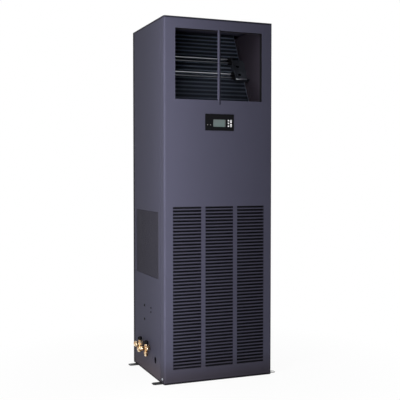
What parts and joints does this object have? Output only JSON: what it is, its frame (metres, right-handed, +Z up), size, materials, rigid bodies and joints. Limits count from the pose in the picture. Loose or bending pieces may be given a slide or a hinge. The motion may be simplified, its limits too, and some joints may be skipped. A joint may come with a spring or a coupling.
{
  "type": "precision air conditioner",
  "caption": "Tall floor-standing precision air conditioner: a hinged full-height door with slotted return grille, framed discharge opening and keypad display, and side pipe valves.",
  "frame": {"origin": "on the floor, at the centre of the four floor-bolt slots", "axes": "+X to the right seen from the front, +Y to the rear (the door faces -Y), +Z up"},
  "size_m": [0.696, 0.5337, 1.854],
  "materials": {
    "cabinet_paint": "fine-grained charcoal powder coat",
    "bracket_paint": "black paint on folded steel",
    "vent_screen": "dark painted screen",
    "zinc_steel": "zinc-plated steel",
    "galvanised": "galvanised sheet",
    "dark_sheet": "dark painted sheet",
    "foam": "closed-cell foam",
    "rubber": "moulded rubber",
    "fin_stock": "blue coated fins",
    "copper": "drawn copper tube",
    "brass": "machined brass",
    "heater_steel": "stainless tube",
    "compressor_paint": "black gloss enamel",
    "wheel_steel": "galvanised wheel",
    "motor_metal": "die-cast shell",
    "filter_media": "dark grey pleated fleece",
    "bezel_plastic": "black moulding",
    "screen_glass": "grey-green screen",
    "circuit_board": "green board",
    "key_plastic": "white keys",
    "lamp_plastic": "clear lamp lenses",
    "switchgear": "pale grey moulding",
    "lever_plastic": "black lever"
  },
  "bodies": {
    "cabinet": {"base_tray": "cabinet_paint", "left_panel": "cabinet_paint", "right_panel": "cabinet_paint", "rear_panel": "cabinet_paint", "top_panel": "cabinet_paint", "foot_brackets": "bracket_paint", "side_vent_screen": "vent_screen", "cabinet_frame": "zinc_steel", "hinge_arms": "zinc_steel", "lock_keepers": "zinc_steel", "drain_pan": "galvanised", "heater_brackets": "galvanised", "fan_deck": "galvanised", "blower_scroll": "galvanised", "blower_side_plates": "galvanised", "motor_mount": "galvanised", "electrical_tray": "galvanised", "discharge_collar": "dark_sheet", "plenum_cheeks": "dark_sheet", "coil_end_plates": "dark_sheet", "valve_plate": "dark_sheet", "collar_gasket": "foam", "compressor_mounts": "rubber", "coil_fins": "fin_stock", "coil_return_bends": "copper", "suction_line": "copper", "discharge_line": "copper", "liquid_line": "copper", "filter_drier": "copper", "expansion_valve": "brass", "liquid_valve": "brass", "gas_valve": "brass", "valve_caps": "brass", "flare_nuts": "brass", "heater_tubes": "heater_steel", "compressor": "compressor_paint", "control_board": "circuit_board", "breaker": "switchgear", "contactors": "switchgear", "terminal_block": "switchgear"},
    "door": {"front_door": "cabinet_paint", "return_grille": "cabinet_paint", "mullion": "cabinet_paint", "air_filter": "filter_media", "hinge_blocks": "zinc_steel", "display_bezel": "bezel_plastic", "lcd_screen": "screen_glass", "display_board": "circuit_board", "indicator_lamps": "lamp_plastic"},
    "fan": {"fan_wheel": "wheel_steel", "motor_rotor": "motor_metal"},
    "lever": {"breaker_lever": "lever_plastic"},
    "key_up": {"key_up": "key_plastic"},
    "key_enter": {"key_enter": "key_plastic"},
    "key_down": {"key_down": "key_plastic"},
    "key_power": {"key_power": "key_plastic"},
    "key_escape": {"key_escape": "key_plastic"},
    "lock_lower": {"lock_lower": "zinc_steel"},
    "lock_upper": {"lock_upper": "zinc_steel"}
  },
  "joints": [
    {"name": "door_hinge", "type": "hinge", "parent": "cabinet", "child": "door", "pos_m": [-0.293, -0.213, 0.929], "axis": [0, 0, -1], "range_deg": [0, 105]},
    {"name": "fan_spin", "type": "hinge", "parent": "cabinet", "child": "fan", "pos_m": [0, 0.031, 0.794], "axis": [1, 0, 0], "continuous": true},
    {"name": "breaker_switch", "type": "hinge", "parent": "cabinet", "child": "lever", "pos_m": [-0.185, -0.1565, 1.084], "axis": [1, 0, 0], "range_deg": [0, 60]},
    {"name": "key_up_press", "type": "slide", "parent": "door", "child": "key_up", "axis": [0, 1, 0], "range_m": [0, 0.001], "stiffness_N_per_m": 300},
    {"name": "key_enter_press", "type": "slide", "parent": "door", "child": "key_enter", "axis": [0, 1, 0], "range_m": [0, 0.001], "stiffness_N_per_m": 300},
    {"name": "key_down_press", "type": "slide", "parent": "door", "child": "key_down", "axis": [0, 1, 0], "range_m": [0, 0.001], "stiffness_N_per_m": 300},
    {"name": "key_power_press", "type": "slide", "parent": "door", "child": "key_power", "axis": [0, 1, 0], "range_m": [0, 0.001], "stiffness_N_per_m": 300},
    {"name": "key_escape_press", "type": "slide", "parent": "door", "child": "key_escape", "axis": [0, 1, 0], "range_m": [0, 0.001], "stiffness_N_per_m": 300},
    {"name": "lock_lower_turn", "type": "hinge", "parent": "door", "child": "lock_lower", "pos_m": [0.3, -0.232, 0.424], "axis": [1, 0, 0], "range_deg": [0, 90]},
    {"name": "lock_upper_turn", "type": "hinge", "parent": "door", "child": "lock_upper", "pos_m": [0.3, -0.232, 1.424], "axis": [1, 0, 0], "range_deg": [0, 90]}
  ]
}
